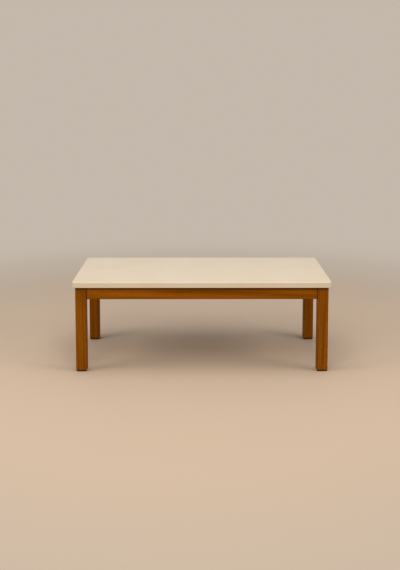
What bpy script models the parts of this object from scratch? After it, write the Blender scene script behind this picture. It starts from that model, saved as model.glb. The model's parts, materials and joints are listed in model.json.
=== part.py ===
# Low coffee table: a lacquered board on a knock-down frame of four legs and four aprons.
# Metres, +Z up. The origin is on the floor under the middle of the top, and the front is at -Y.

import math

import bmesh
import bpy
from mathutils import Matrix, Vector

# Whole table
TABLE_LENGTH = 1.200
TABLE_DEPTH = 0.600
TABLE_HEIGHT = 0.425
SEAT_GAP = 0.0003  # left between two pieces that touch

# Lacquered top
TOP_THICKNESS = 0.025
TOP_CORNER_RADIUS = 0.025
TOP_UPPER_ROUND = 0.003
TOP_LOWER_ROUND = 0.002
TOP_OVERHANG = 0.014  # past the outer faces of the legs

# Legs
LEG_WIDTH = 0.050
LEG_EDGE_ROUND = 0.0025
LEG_FOOT_ROUND = 0.002
LEG_FLAT_WIDTH = 0.020  # flat on the inner corner, where the hanger bolt comes out
LEG_FLAT_RUN = 0.010  # how far that flat runs on below the aprons

# Felt pads under the legs
PAD_INSET = 0.002  # from the faces of the leg
PAD_THICKNESS = 0.004
PAD_CORNER_RADIUS = 0.004

# Aprons
APRON_HEIGHT = 0.056
APRON_THICKNESS = 0.022
APRON_SETBACK = 0.002  # behind the outer faces of the legs
APRON_LOWER_ROUND = 0.002
APRON_UPPER_ROUND = 0.001

# Cross rail under the middle of the top, tenoned into the long aprons
RAIL_HEIGHT = 0.040
RAIL_THICKNESS = 0.022
RAIL_EDGE_ROUND = 0.0015
TENON_LENGTH = 0.010
TENON_THICKNESS = 0.010
TENON_SHOULDER = 0.006  # above and below the tenon

# Dowels between the aprons and the legs
DOWEL_DIAMETER = 0.008
DOWEL_LENGTH = 0.030
DOWEL_CHAMFER = 0.001
DOWEL_RISE = 0.014  # above the line of the hanger bolt

# Corner brackets, bent from sheet steel
BRACKET_SHEET = 0.0015
BRACKET_MARGIN = 0.008  # inside the upper and lower edges of the aprons
BRACKET_STANDOFF = 0.005  # from the flat on the leg, so that the nut can draw the leg in
BRACKET_WING = 0.028  # along the apron, from the bend to the lip
BRACKET_LIP = 0.006  # into the saw kerf of the apron
BRACKET_BEND = 0.002

# Hanger bolts, washers and wing nuts
BOLT_DIAMETER = 0.008
BOLT_WOOD_DIAMETER = 0.007
BOLT_POINT = 0.004
BOLT_CHAMFER = 0.001
BOLT_IN_LEG = 0.032
BOLT_TAIL = 0.006  # past the wing nut
BOLT_PLAY = 0.0005  # round the bolt in the bracket
WASHER_DIAMETER = 0.022
WASHER_THICKNESS = 0.0016
NUT_BASE_DIAMETER = 0.016
NUT_NECK_DIAMETER = 0.012
NUT_FLANGE = 0.002
NUT_HEIGHT = 0.009
NUT_SPAN = 0.036
NUT_EAR_RADIUS = 0.0055
NUT_EAR_RISE = 0.0115
NUT_EAR_THICKNESS = 0.0025
NUT_EAR_START = math.radians(-75)  # where the round end of an ear begins, from level
NUT_EAR_SWEEP = math.radians(200)
NUT_TURN = math.radians(28)  # how far the wings stand from level

# Screws
SCREW_DIAMETER = 0.004
SCREW_POINT = 0.004
SCREW_HEAD_DIAMETER = 0.008
SCREW_HEAD_HEIGHT = 0.0026
SCREW_HEAD_RIM = 0.0010
APRON_SCREW_BITE = 0.012
TOP_SCREW_BITE = 0.014
PILOT_PLAY = 0.001  # below the point of a screw
RAIL_SCREW_SPACING = 0.280
COUNTERBORE_DIAMETER = 0.011
COUNTERBORE_DEPTH = 0.014

# Clips that hold the top down on the aprons
CLIP_SHEET = 0.0016
CLIP_WIDTH = 0.018
CLIP_DROP = 0.010  # from the underside of the top to the tongue
CLIP_TONGUE = 0.008  # into the slot of the apron
CLIP_STEP = 0.004  # from the face of the apron to the upright of the clip
CLIP_FLANGE = 0.020
CLIP_BEND = 0.0018
CLIP_SLOT_PLAY = 0.003  # beside the tongue, so that the top can move
CLIP_SPACING = 0.560  # between the two clips of a long apron

# Facets
ROUND_SIDES = 16
CORNER_STEPS = 9
ROUND_STEPS = 4
EASED_STEPS = 3
EAR_STEPS = 12
DOME_STEPS = 3
SAME_POINT = 0.00001  # points this near each other count as one
SMOOTH_ANGLE = math.radians(32)
CUT_MARGIN = 0.010  # how far a cutter runs past the face that it enters

# Levels and places that follow from the sizes
FRAME_TOP = TABLE_HEIGHT - TOP_THICKNESS - SEAT_GAP
BOLT_LEVEL = FRAME_TOP - APRON_HEIGHT / 2
LEG_FOOT = PAD_THICKNESS + SEAT_GAP
LEG_X = TABLE_LENGTH / 2 - TOP_OVERHANG - LEG_WIDTH / 2
LEG_Y = TABLE_DEPTH / 2 - TOP_OVERHANG - LEG_WIDTH / 2
APRON_END = LEG_WIDTH / 2 + SEAT_GAP

# Distances from the axis of a leg, square to the apron
APRON_MIDDLE = APRON_SETBACK + APRON_THICKNESS / 2 - LEG_WIDTH / 2
APRON_INSIDE = APRON_SETBACK + APRON_THICKNESS - LEG_WIDTH / 2
WING_MIDDLE = APRON_INSIDE + SEAT_GAP + BRACKET_SHEET / 2
WING_FACE = APRON_INSIDE + SEAT_GAP + BRACKET_SHEET

# Distances from the axis of a leg, along the diagonal that the hanger bolt follows
FLAT_OUT = (LEG_WIDTH * math.sqrt(2) - LEG_FLAT_WIDTH) / 2
WEB_MIDDLE = FLAT_OUT + BRACKET_STANDOFF + BRACKET_SHEET / 2
WASHER_OUT = FLAT_OUT + BRACKET_STANDOFF + BRACKET_SHEET + SEAT_GAP
NUT_OUT = WASHER_OUT + WASHER_THICKNESS + SEAT_GAP
BOLT_OUT = NUT_OUT + NUT_HEIGHT + BOLT_TAIL

# Distances from the axis of a leg, along the apron
WING_BEND = WEB_MIDDLE * math.sqrt(2) - WING_MIDDLE
WING_LIP = WING_BEND + BRACKET_WING
WING_SCREW = WING_BEND + BRACKET_WING / 2

SCREW_HOLE = SCREW_DIAMETER / 2 + SEAT_GAP
DIAGONAL = Vector((1, 1, 0)).normalized()
# Name, sides along X and Y, and turn about Z
CORNERS = (
    ("front_left", -1, -1, 0),
    ("front_right", 1, -1, 90),
    ("rear_right", 1, 1, 180),
    ("rear_left", -1, 1, 270),
)
# Name, turn about Z, and distance of the leg axes from the middle of the table
SIDES = (
    ("front", 0, LEG_Y),
    ("rear", 180, LEG_Y),
    ("left", -90, LEG_X),
    ("right", 90, LEG_X),
)


# Making meshes

def mesh_from(shape, name):
    bmesh.ops.recalc_face_normals(shape, faces=shape.faces)
    mesh = bpy.data.meshes.new(name)
    shape.to_mesh(mesh)
    shape.free()
    return mesh


def helper(mesh):
    """An object that stands in the scene only while a mesh is being worked on."""
    body = bpy.data.objects.new(mesh.name, mesh)
    bpy.context.scene.collection.objects.link(body)
    return body


def worked(body):
    """The mesh that the modifiers of a helper give. The helper goes."""
    bpy.context.view_layer.update()
    graph = bpy.context.evaluated_depsgraph_get()
    mesh = bpy.data.meshes.new_from_object(body.evaluated_get(graph))
    bpy.data.objects.remove(body)
    return mesh


def combined(mesh, tools, operation="DIFFERENCE"):
    """The mesh after each tool mesh has been cut from it or joined to it, in turn."""
    for tool in tools:
        body = helper(mesh)
        cutter = helper(tool)
        cutter.hide_render = True
        cutter.display_type = "WIRE"
        boolean = body.modifiers.new("shape", "BOOLEAN")
        boolean.operation = operation
        boolean.solver = "EXACT"
        boolean.object = cutter
        mesh = worked(body)
        bpy.data.objects.remove(cutter)
    return mesh


def add_box(shape, low, high):
    """Adds a box between two opposite corners to a bmesh."""
    low = Vector(low)
    high = Vector(high)
    matrix = Matrix.Translation((low + high) / 2) @ Matrix.Diagonal((*(high - low), 1.0))
    bmesh.ops.create_cube(shape, size=1.0, matrix=matrix)


def add_bore(shape, start, end, radius):
    """Adds a round cutter between two points to a bmesh."""
    start = Vector(start)
    end = Vector(end)
    turn = (end - start).to_track_quat("Z", "Y").to_matrix().to_4x4()
    bmesh.ops.create_cone(
        shape,
        cap_ends=True,
        segments=ROUND_SIDES,
        radius1=radius,
        radius2=radius,
        depth=(end - start).length,
        matrix=Matrix.Translation((start + end) / 2) @ turn,
    )


def add_chamfer(shape, middle, leg, height):
    """Adds an upright cutter to a bmesh that takes an upright edge off as a chamfer with these legs."""
    side = leg * math.sqrt(2)
    matrix = Matrix.Translation(middle) @ Matrix.Rotation(math.radians(45), 4, "Z")
    matrix = matrix @ Matrix.Diagonal((side, side, height, 1.0))
    bmesh.ops.create_cube(shape, size=1.0, matrix=matrix)


def round_edges(shape, edges, radius, steps):
    bmesh.ops.bevel(
        shape,
        geom=edges,
        offset=radius,
        offset_type="OFFSET",
        segments=steps,
        profile=0.5,
        affect="EDGES",
        clamp_overlap=False,
    )


def rim(shape, height):
    """The edges of a bmesh that lie at this height."""
    return [edge for edge in shape.edges if all(abs(v.co.z - height) < SAME_POINT for v in edge.verts)]


def upright_block(name, plan, low, high, corner, lower_round, upper_round, corner_steps, rim_steps):
    """A standing block with rounded upright edges. Its rims are rounded where a radius is given."""
    length, depth = plan
    shape = bmesh.new()
    add_box(shape, (-length / 2, -depth / 2, low), (length / 2, depth / 2, high))
    flat = set(rim(shape, low) + rim(shape, high))
    round_edges(shape, [edge for edge in shape.edges if edge not in flat], corner, corner_steps)
    if upper_round:
        round_edges(shape, rim(shape, high), upper_round, rim_steps)
    if lower_round:
        round_edges(shape, rim(shape, low), lower_round, rim_steps)
    return mesh_from(shape, name)


def lying_bar(name, length, thickness, height, lower_round, upper_round):
    """A bar along X about the origin with its long edges eased and its ends sawn square."""
    shape = bmesh.new()
    add_box(shape, (-length / 2, -thickness / 2, -height / 2), (length / 2, thickness / 2, height / 2))
    for level, radius in ((-height / 2, lower_round), (height / 2, upper_round)):
        long_edges = [edge for edge in rim(shape, level) if edge.verts[0].co.x * edge.verts[1].co.x < 0]
        round_edges(shape, long_edges, radius, EASED_STEPS)
    return mesh_from(shape, name)


def turned(name, profile, ring=False):
    """A solid turned about Z from (radius, height) points, or a ring where the profile closes on itself."""
    shape = bmesh.new()
    points = [shape.verts.new((radius, 0, height)) for radius, height in profile]
    lines = [shape.edges.new(pair) for pair in zip(points, points[1:])]
    if ring:
        lines.append(shape.edges.new((points[-1], points[0])))
    bmesh.ops.spin(
        shape,
        geom=points + lines,
        cent=(0, 0, 0),
        axis=(0, 0, 1),
        angle=math.tau,
        steps=ROUND_SIDES,
        use_merge=True,
    )
    bmesh.ops.remove_doubles(shape, verts=shape.verts, dist=SAME_POINT)
    return mesh_from(shape, name)


def bent_sheet(name, line, width, thickness, bend):
    """A strip of sheet metal that follows a line in the XY plane and is as wide as given along Z."""
    shape = bmesh.new()
    low = [shape.verts.new((x, y, -width / 2)) for x, y in line]
    high = [shape.verts.new((x, y, width / 2)) for x, y in line]
    for start in range(len(line) - 1):
        shape.faces.new((low[start], low[start + 1], high[start + 1], high[start]))
    strip = helper(mesh_from(shape, name))
    bends = strip.modifiers.new("bends", "BEVEL")
    bends.width = bend
    bends.segments = EASED_STEPS
    bends.use_clamp_overlap = False
    sheet = strip.modifiers.new("sheet", "SOLIDIFY")
    sheet.thickness = thickness
    sheet.offset = 0.0
    sheet.use_even_offset = True
    return worked(strip)


# Pieces of wood and felt

def tabletop_mesh(screw_places):
    underside = TABLE_HEIGHT - TOP_THICKNESS
    board = upright_block(
        "tabletop", (TABLE_LENGTH, TABLE_DEPTH), underside, TABLE_HEIGHT, TOP_CORNER_RADIUS,
        TOP_LOWER_ROUND, TOP_UPPER_ROUND, CORNER_STEPS, ROUND_STEPS,
    )
    pilots = bmesh.new()
    for x, y in screw_places:
        top_of_pilot = underside + TOP_SCREW_BITE + PILOT_PLAY
        add_bore(pilots, (x, y, underside - CUT_MARGIN), (x, y, top_of_pilot), SCREW_HOLE)
    return combined(board, [mesh_from(pilots, "pilots")])


def leg_mesh():
    """A leg about its own axis, with its aprons along +X and +Y."""
    post = upright_block(
        "leg", (LEG_WIDTH, LEG_WIDTH), LEG_FOOT, FRAME_TOP, LEG_EDGE_ROUND,
        LEG_FOOT_ROUND, 0.0, EASED_STEPS, EASED_STEPS,
    )
    flat = bmesh.new()
    flat_low = FRAME_TOP - APRON_HEIGHT - LEG_FLAT_RUN
    flat_high = FRAME_TOP + CUT_MARGIN
    add_box(flat, (FLAT_OUT, -LEG_WIDTH, flat_low), (FLAT_OUT + LEG_WIDTH, LEG_WIDTH, flat_high))
    to_diagonal = Matrix.Rotation(math.radians(45), 3, "Z")
    bmesh.ops.rotate(flat, verts=flat.verts, cent=(0, 0, 0), matrix=to_diagonal)

    bores = bmesh.new()
    bolt_end = DIAGONAL * (FLAT_OUT - BOLT_IN_LEG - SEAT_GAP)
    bolt_way_out = DIAGONAL * (FLAT_OUT + CUT_MARGIN)
    level = Vector((0, 0, BOLT_LEVEL))
    add_bore(bores, bolt_end + level, bolt_way_out + level, BOLT_DIAMETER / 2 + SEAT_GAP)
    dowel_end = Vector((APRON_END - DOWEL_LENGTH / 2 - 2 * SEAT_GAP, APRON_MIDDLE, BOLT_LEVEL + DOWEL_RISE))
    dowel_way_out = Vector((APRON_END + CUT_MARGIN, APRON_MIDDLE, BOLT_LEVEL + DOWEL_RISE))
    dowel_radius = DOWEL_DIAMETER / 2 + SEAT_GAP
    add_bore(bores, dowel_end, dowel_way_out, dowel_radius)
    add_bore(bores, dowel_end.yxz, dowel_way_out.yxz, dowel_radius)
    return combined(post, [mesh_from(flat, "flat"), mesh_from(bores, "bores")])


def foot_pad_mesh():
    width = LEG_WIDTH - 2 * PAD_INSET
    return upright_block(
        "foot_pad", (width, width), 0.0, PAD_THICKNESS, PAD_CORNER_RADIUS, 0.0, 0.0, EASED_STEPS, EASED_STEPS
    )


def apron_mesh(name, half_span, clip_places, with_mortise):
    """An apron along X about its own middle, with its inner face at +Y."""
    length = 2 * (half_span - APRON_END)
    inside = APRON_THICKNESS / 2
    past = inside + CUT_MARGIN
    bar = lying_bar(name, length, APRON_THICKNESS, APRON_HEIGHT, APRON_LOWER_ROUND, APRON_UPPER_ROUND)

    cuts = bmesh.new()
    mouths = bmesh.new()
    for end in (-1, 1):
        dowel_inner = end * (length / 2 - DOWEL_LENGTH / 2 - SEAT_GAP)
        dowel_outer = end * (length / 2 + CUT_MARGIN)
        dowel_radius = DOWEL_DIAMETER / 2 + SEAT_GAP
        add_bore(cuts, (dowel_inner, 0, DOWEL_RISE), (dowel_outer, 0, DOWEL_RISE), dowel_radius)
        kerf = end * (half_span - WING_LIP)
        kerf_half = BRACKET_SHEET / 2 + SEAT_GAP
        kerf_floor = inside - BRACKET_LIP - SEAT_GAP
        height = APRON_HEIGHT / 2 + CUT_MARGIN
        add_box(cuts, (kerf - kerf_half, kerf_floor, -height), (kerf + kerf_half, past, height))
        add_chamfer(mouths, (kerf + end * kerf_half, inside, 0), BRACKET_BEND, 2 * height)
        pilot = end * (half_span - WING_SCREW)
        pilot_floor = inside - APRON_SCREW_BITE - PILOT_PLAY
        add_bore(cuts, (pilot, pilot_floor, 0), (pilot, past, 0), SCREW_HOLE)

    slot_half = CLIP_WIDTH / 2 + CLIP_SLOT_PLAY
    slot_floor = inside - CLIP_TONGUE - SEAT_GAP
    slot_middle = APRON_HEIGHT / 2 + SEAT_GAP - CLIP_DROP
    slot_low = slot_middle - CLIP_SHEET / 2 - SEAT_GAP
    slot_high = slot_middle + CLIP_SHEET / 2 + SEAT_GAP
    for x in clip_places:
        add_box(cuts, (x - slot_half, slot_floor, slot_low), (x + slot_half, past, slot_high))
    if with_mortise:
        mortise_half = TENON_THICKNESS / 2 + SEAT_GAP
        mortise_floor = inside - TENON_LENGTH - SEAT_GAP
        mortise_high = APRON_HEIGHT / 2 - TENON_SHOULDER + SEAT_GAP
        mortise_low = APRON_HEIGHT / 2 - RAIL_HEIGHT + TENON_SHOULDER - SEAT_GAP
        add_box(cuts, (-mortise_half, mortise_floor, mortise_low), (mortise_half, past, mortise_high))
    return combined(bar, [mesh_from(cuts, "cuts"), mesh_from(mouths, "mouths")])


def cross_rail_mesh():
    """The rail along X about its own middle, with a stub tenon at each end."""
    shoulders = 2 * (LEG_Y - APRON_INSIDE - SEAT_GAP)
    bar = lying_bar("cross_rail", shoulders, RAIL_THICKNESS, RAIL_HEIGHT, RAIL_EDGE_ROUND, RAIL_EDGE_ROUND)
    tenon = bmesh.new()
    reach = shoulders / 2 + TENON_LENGTH
    tenon_high = RAIL_HEIGHT / 2 - TENON_SHOULDER
    add_box(tenon, (-reach, -TENON_THICKNESS / 2, -tenon_high), (reach, TENON_THICKNESS / 2, tenon_high))
    rail = combined(bar, [mesh_from(tenon, "tenon")], "UNION")

    ways = bmesh.new()
    counterbores = bmesh.new()
    below = -RAIL_HEIGHT / 2 - CUT_MARGIN
    for x in (-RAIL_SCREW_SPACING / 2, RAIL_SCREW_SPACING / 2):
        add_bore(ways, (x, 0, below), (x, 0, RAIL_HEIGHT / 2 + CUT_MARGIN), SCREW_HOLE)
        seat = COUNTERBORE_DEPTH - RAIL_HEIGHT / 2
        add_bore(counterbores, (x, 0, below), (x, 0, seat), COUNTERBORE_DIAMETER / 2)
    return combined(rail, [mesh_from(ways, "ways"), mesh_from(counterbores, "counterbores")])


def dowel_mesh():
    radius = DOWEL_DIAMETER / 2
    end = DOWEL_LENGTH / 2
    tip = radius - DOWEL_CHAMFER
    shoulder = end - DOWEL_CHAMFER
    upper_half = [(0, end), (tip, end), (radius, shoulder)]
    lower_half = [(r, -z) for r, z in reversed(upper_half)]
    return turned("dowel", upper_half + lower_half)


# Pieces of metal

def corner_bracket_mesh():
    """The bracket about the axis of its leg and the level of its bolt."""
    lip_end = APRON_INSIDE - BRACKET_LIP
    line = [
        (WING_LIP, lip_end),
        (WING_LIP, WING_MIDDLE),
        (WING_BEND, WING_MIDDLE),
        (WING_MIDDLE, WING_BEND),
        (WING_MIDDLE, WING_LIP),
        (lip_end, WING_LIP),
    ]
    height = APRON_HEIGHT - 2 * BRACKET_MARGIN
    plate = bent_sheet("corner_bracket", line, height, BRACKET_SHEET, BRACKET_BEND)
    holes = bmesh.new()
    add_bore(
        holes, DIAGONAL * (WEB_MIDDLE - CUT_MARGIN), DIAGONAL * (WEB_MIDDLE + CUT_MARGIN),
        BOLT_DIAMETER / 2 + BOLT_PLAY,
    )
    near = WING_MIDDLE - CUT_MARGIN / 2
    far = WING_MIDDLE + CUT_MARGIN / 2
    add_bore(holes, (WING_SCREW, near, 0), (WING_SCREW, far, 0), SCREW_HOLE)
    add_bore(holes, (near, WING_SCREW, 0), (far, WING_SCREW, 0), SCREW_HOLE)
    return combined(plate, [mesh_from(holes, "holes")])


def hanger_bolt_mesh():
    """The bolt along Z, with the face of the leg at zero and its machine thread above."""
    wood = BOLT_WOOD_DIAMETER / 2
    machine = BOLT_DIAMETER / 2
    end = BOLT_OUT - FLAT_OUT
    return turned(
        "hanger_bolt",
        [
            (0, end),
            (machine - BOLT_CHAMFER, end),
            (machine, end - BOLT_CHAMFER),
            (machine, 0),
            (wood, -(machine - wood)),
            (wood, BOLT_POINT - BOLT_IN_LEG),
            (0, -BOLT_IN_LEG),
        ],
    )


def washer_mesh():
    bore = BOLT_DIAMETER / 2 + SEAT_GAP
    edge = WASHER_DIAMETER / 2
    corners = [(bore, 0), (edge, 0), (edge, WASHER_THICKNESS), (bore, WASHER_THICKNESS)]
    return turned("washer", corners, ring=True)


def wing_nut_mesh():
    """The nut along Z with its seat at zero. Its wings point along X."""
    bore = BOLT_DIAMETER / 2 + SEAT_GAP
    base = NUT_BASE_DIAMETER / 2
    neck = NUT_NECK_DIAMETER / 2
    section = [(bore, 0), (base, 0), (base, NUT_FLANGE), (neck, NUT_HEIGHT), (bore, NUT_HEIGHT)]
    hub = turned("wing_nut", section, ring=True)
    root = (bore + neck) / 2
    ear_middle = NUT_SPAN / 2 - NUT_EAR_RADIUS
    turns = [NUT_EAR_START + NUT_EAR_SWEEP * step / EAR_STEPS for step in range(EAR_STEPS + 1)]
    outline = [(root, NUT_FLANGE)]
    outline += [
        (ear_middle + NUT_EAR_RADIUS * math.cos(turn), NUT_EAR_RISE + NUT_EAR_RADIUS * math.sin(turn))
        for turn in turns
    ]
    outline.append((root, NUT_HEIGHT - NUT_FLANGE / 2))
    ears = []
    for side in (-1, 1):
        ear = bmesh.new()
        face = ear.faces.new([ear.verts.new((side * x, -NUT_EAR_THICKNESS / 2, z)) for x, z in outline])
        far_side = bmesh.ops.extrude_face_region(ear, geom=[face])["geom"]
        moved = [part for part in far_side if isinstance(part, bmesh.types.BMVert)]
        bmesh.ops.translate(ear, verts=moved, vec=(0, NUT_EAR_THICKNESS, 0))
        ears.append(mesh_from(ear, "ear"))
    return combined(hub, ears, "UNION")


def screw_mesh(name, length):
    """A pan head screw along Z, with the seat of its head at zero and its point below."""
    shank = SCREW_DIAMETER / 2
    head = SCREW_HEAD_DIAMETER / 2
    rise = SCREW_HEAD_HEIGHT - SCREW_HEAD_RIM
    turns = [math.pi / 2 * step / DOME_STEPS for step in range(DOME_STEPS + 1)]
    dome = [(head * math.sin(turn), SCREW_HEAD_RIM + rise * math.cos(turn)) for turn in turns]
    return turned(name, dome + [(head, 0), (shank, 0), (shank, SCREW_POINT - length), (0, -length)])


def top_clip_mesh():
    """The clip with the inner face of the apron at y = 0 and the underside of the top at z = 0."""
    flange_level = -SEAT_GAP - CLIP_SHEET / 2
    tongue = [(-CLIP_TONGUE, -CLIP_DROP), (CLIP_STEP, -CLIP_DROP)]
    flange = [(CLIP_STEP, flange_level), (CLIP_STEP + CLIP_FLANGE, flange_level)]
    clip = bent_sheet("top_clip", tongue + flange, CLIP_WIDTH, CLIP_SHEET, CLIP_BEND)
    stand_up = Matrix(((0, 0, 1, 0), (1, 0, 0, 0), (0, 1, 0, 0), (0, 0, 0, 1)))
    clip.transform(stand_up)
    hole = bmesh.new()
    middle = CLIP_STEP + CLIP_FLANGE / 2
    add_bore(hole, (0, middle, -CUT_MARGIN), (0, middle, CUT_MARGIN), SCREW_HOLE)
    return combined(clip, [mesh_from(hole, "hole")])


# Finishes and assembly

def finish(name, colour, roughness, metallic=0.0):
    material = bpy.data.materials.new(name)
    material.use_nodes = True
    shader = material.node_tree.nodes["Principled BSDF"]
    shader.inputs["Base Color"].default_value = (*colour, 1.0)
    shader.inputs["Roughness"].default_value = roughness
    shader.inputs["Metallic"].default_value = metallic
    return material


def dressed(mesh, material):
    mesh.materials.clear()
    mesh.materials.append(material)
    mesh.shade_smooth()
    mesh.set_sharp_from_angle(angle=SMOOTH_ANGLE)
    return mesh


def station(name, parent, location=(0, 0, 0), turn=0):
    """An empty that carries the pieces of one corner or one side."""
    empty = bpy.data.objects.new(name, None)
    bpy.context.scene.collection.objects.link(empty)
    empty.parent = parent
    empty.location = location
    empty.rotation_euler = (0, 0, math.radians(turn))
    return empty


def place(name, mesh, parent, location=(0, 0, 0), aim=None, roll=0.0):
    """Puts a piece on its station, with the Z of its mesh aimed and the piece rolled about that line."""
    piece = bpy.data.objects.new(name, mesh)
    bpy.context.scene.collection.objects.link(piece)
    piece.parent = parent
    piece.location = location
    if aim is not None:
        turn = Vector(aim).to_track_quat("Z", "Y").to_matrix() @ Matrix.Rotation(roll, 3, "Z")
        piece.rotation_euler = turn.to_euler()
    return piece


def finishes():
    return {
        "lacquer": finish("cream_lacquer", (0.775, 0.665, 0.515), 0.38),
        "stain": finish("stained_wood", (0.195, 0.054, 0.004), 0.45),
        "rail_wood": finish("plain_rail_wood", (0.330, 0.175, 0.070), 0.60),
        "beech": finish("beech_dowel", (0.560, 0.370, 0.190), 0.65),
        "zinc": finish("zinc_steel", (0.560, 0.560, 0.545), 0.38, 1.0),
        "felt": finish("dark_felt", (0.035, 0.020, 0.012), 0.95),
    }


def fit_sides(table, look):
    """Fits the aprons with their clips, and gives the places of the clip screws under the top."""
    long_clips = {"left": -CLIP_SPACING / 2, "right": CLIP_SPACING / 2}
    clip_places = {
        "front": long_clips,
        "rear": {end: -x for end, x in long_clips.items()},
        "left": {"middle": 0.0},
        "right": {"middle": 0.0},
    }
    long_apron = dressed(apron_mesh("long_apron", LEG_X, long_clips.values(), True), look["stain"])
    short_apron = dressed(apron_mesh("short_apron", LEG_Y, [0.0], False), look["stain"])
    apron_meshes = {"front": long_apron, "rear": long_apron, "left": short_apron, "right": short_apron}
    clip = dressed(top_clip_mesh(), look["zinc"])
    clip_stack = CLIP_SHEET + 2 * SEAT_GAP
    screw = dressed(screw_mesh("clip_screw", clip_stack + TOP_SCREW_BITE), look["zinc"])
    underside = TABLE_HEIGHT - TOP_THICKNESS
    screw_places = []
    for side, turn, reach in SIDES:
        here = station(f"side_{side}", table, turn=turn)
        inner_face = APRON_INSIDE - reach
        place(f"apron_{side}", apron_meshes[side], here, (0, APRON_MIDDLE - reach, BOLT_LEVEL))
        for end, x in clip_places[side].items():
            spot = Vector((x, inner_face + CLIP_STEP + CLIP_FLANGE / 2, underside - clip_stack))
            place(f"top_clip_{side}_{end}", clip, here, (x, inner_face, underside))
            place(f"clip_screw_{side}_{end}", screw, here, spot, aim=(0, 0, -1))
            screw_places.append((Matrix.Rotation(math.radians(turn), 3, "Z") @ spot).xy)
    return screw_places


def fit_corners(table, look):
    """Fits each leg with its pad and dowels, and the bracket, bolt, washer, nut and screws that hold it."""
    leg = dressed(leg_mesh(), look["stain"])
    pad = dressed(foot_pad_mesh(), look["felt"])
    dowel = dressed(dowel_mesh(), look["beech"])
    bracket = dressed(corner_bracket_mesh(), look["zinc"])
    bolt = dressed(hanger_bolt_mesh(), look["zinc"])
    washer = dressed(washer_mesh(), look["zinc"])
    nut = dressed(wing_nut_mesh(), look["zinc"])
    screw_length = BRACKET_SHEET + 2 * SEAT_GAP + APRON_SCREW_BITE
    screw = dressed(screw_mesh("bracket_screw", screw_length), look["zinc"])
    level = Vector((0, 0, BOLT_LEVEL))
    dowel_level = BOLT_LEVEL + DOWEL_RISE
    dowel_out = APRON_END - SEAT_GAP / 2
    head_out = WING_FACE + SEAT_GAP
    for corner, x_side, y_side, turn in CORNERS:
        here = station(f"corner_{corner}", table, (x_side * LEG_X, y_side * LEG_Y, 0), turn)
        place(f"leg_{corner}", leg, here)
        place(f"foot_pad_{corner}", pad, here)
        place(f"dowel_{corner}_a", dowel, here, (dowel_out, APRON_MIDDLE, dowel_level), aim=(1, 0, 0))
        place(f"dowel_{corner}_b", dowel, here, (APRON_MIDDLE, dowel_out, dowel_level), aim=(0, 1, 0))
        place(f"corner_bracket_{corner}", bracket, here, level)
        place(f"hanger_bolt_{corner}", bolt, here, DIAGONAL * FLAT_OUT + level, aim=DIAGONAL)
        place(f"washer_{corner}", washer, here, DIAGONAL * WASHER_OUT + level, aim=DIAGONAL)
        place(f"wing_nut_{corner}", nut, here, DIAGONAL * NUT_OUT + level, aim=DIAGONAL, roll=NUT_TURN)
        along_x = (WING_SCREW, head_out, BOLT_LEVEL)
        along_y = (head_out, WING_SCREW, BOLT_LEVEL)
        place(f"bracket_screw_{corner}_a", screw, here, along_x, aim=(0, 1, 0))
        place(f"bracket_screw_{corner}_b", screw, here, along_y, aim=(1, 0, 0))


def fit_rail(table, look):
    """Fits the cross rail with its two screws, and gives the places of those screws under the top."""
    middle = station("middle", table, (0, 0, FRAME_TOP - RAIL_HEIGHT / 2), 90)
    place("cross_rail", dressed(cross_rail_mesh(), look["rail_wood"]), middle)
    screw_length = RAIL_HEIGHT - COUNTERBORE_DEPTH + 2 * SEAT_GAP + TOP_SCREW_BITE
    screw = dressed(screw_mesh("rail_screw", screw_length), look["zinc"])
    head_level = COUNTERBORE_DEPTH - RAIL_HEIGHT / 2 - SEAT_GAP
    screw_places = []
    for end, x in (("front", -RAIL_SCREW_SPACING / 2), ("rear", RAIL_SCREW_SPACING / 2)):
        place(f"rail_screw_{end}", screw, middle, (x, 0, head_level), aim=(0, 0, -1))
        screw_places.append((0, x))
    return screw_places


def build():
    for item in list(bpy.data.objects):
        bpy.data.objects.remove(item)
    look = finishes()
    table = station("coffee_table", None)
    fit_corners(table, look)
    screw_places = fit_sides(table, look) + fit_rail(table, look)
    place("tabletop", dressed(tabletop_mesh(screw_places), look["lacquer"]), table)


build()
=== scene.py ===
# Looks for the coffee table: a cream lacquered top on a stained wooden frame, with its hardware underneath.
import json
import math
import bmesh
import bpy
from mathutils import Matrix, Vector, noise

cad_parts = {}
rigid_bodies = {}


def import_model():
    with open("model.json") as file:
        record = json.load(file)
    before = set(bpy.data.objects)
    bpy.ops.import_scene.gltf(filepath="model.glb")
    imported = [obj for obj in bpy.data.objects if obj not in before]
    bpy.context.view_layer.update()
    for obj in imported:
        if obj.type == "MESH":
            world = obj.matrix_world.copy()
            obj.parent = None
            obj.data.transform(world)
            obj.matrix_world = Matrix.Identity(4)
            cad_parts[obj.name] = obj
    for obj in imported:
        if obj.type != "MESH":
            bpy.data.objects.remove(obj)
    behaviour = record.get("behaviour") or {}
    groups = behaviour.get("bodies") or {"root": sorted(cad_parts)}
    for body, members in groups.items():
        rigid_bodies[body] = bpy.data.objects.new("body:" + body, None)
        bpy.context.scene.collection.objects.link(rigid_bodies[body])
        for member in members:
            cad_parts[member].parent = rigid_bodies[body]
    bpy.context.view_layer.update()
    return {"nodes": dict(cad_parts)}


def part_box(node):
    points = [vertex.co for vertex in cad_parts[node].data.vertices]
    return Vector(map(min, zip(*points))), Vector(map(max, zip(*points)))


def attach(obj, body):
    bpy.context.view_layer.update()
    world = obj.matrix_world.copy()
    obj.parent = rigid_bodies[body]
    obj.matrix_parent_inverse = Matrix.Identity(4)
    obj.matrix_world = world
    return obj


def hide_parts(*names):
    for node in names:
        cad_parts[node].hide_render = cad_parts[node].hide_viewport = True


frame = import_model()
scene = bpy.context.scene
scene.view_settings.view_transform = "Standard"
print("frame loaded,", len(frame["nodes"]), "nodes")

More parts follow.
